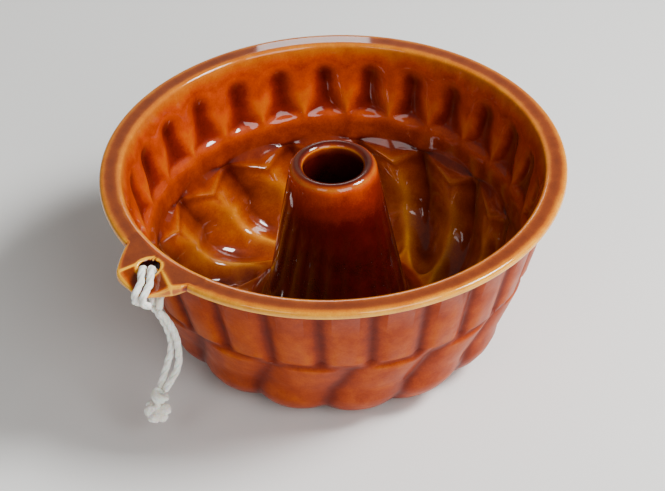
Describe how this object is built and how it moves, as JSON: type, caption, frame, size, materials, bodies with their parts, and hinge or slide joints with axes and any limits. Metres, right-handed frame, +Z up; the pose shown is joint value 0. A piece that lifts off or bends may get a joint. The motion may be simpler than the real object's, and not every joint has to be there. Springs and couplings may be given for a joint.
{
  "type": "ring cake mould",
  "caption": "Glazed stoneware ring-cake mould with fluted and swirled walls, a hollow centre tube, and a cotton cord hitched through its rim lug for hanging.",
  "frame": {"origin": "on the surface that the mould's foot ring stands on, under the middle of the mould's box, rim lug included", "axes": "+Z up through the centre tube towards the open rim; the hanging lug points towards -X"},
  "size_m": [0.2391, 0.22, 0.0986],
  "materials": {
    "amber_glaze": "glossy amber-brown glaze over fired stoneware",
    "cotton_cord": "undyed twisted cotton cord"
  },
  "bodies": {
    "mould": {"mould_body": "amber_glaze", "cord_hitch": "cotton_cord"},
    "hanging_loop": {"cord_strand_left": "cotton_cord", "cord_strand_right": "cotton_cord", "cord_knot": "cotton_cord", "cord_tuft": "cotton_cord"}
  },
  "joints": [
    {"name": "loop_swing", "type": "hinge", "parent": "mould", "child": "hanging_loop", "pos_m": [-0.109, -0.009, 0.0795], "axis": [0, 1, 0], "range_deg": [-15, 90]}
  ]
}
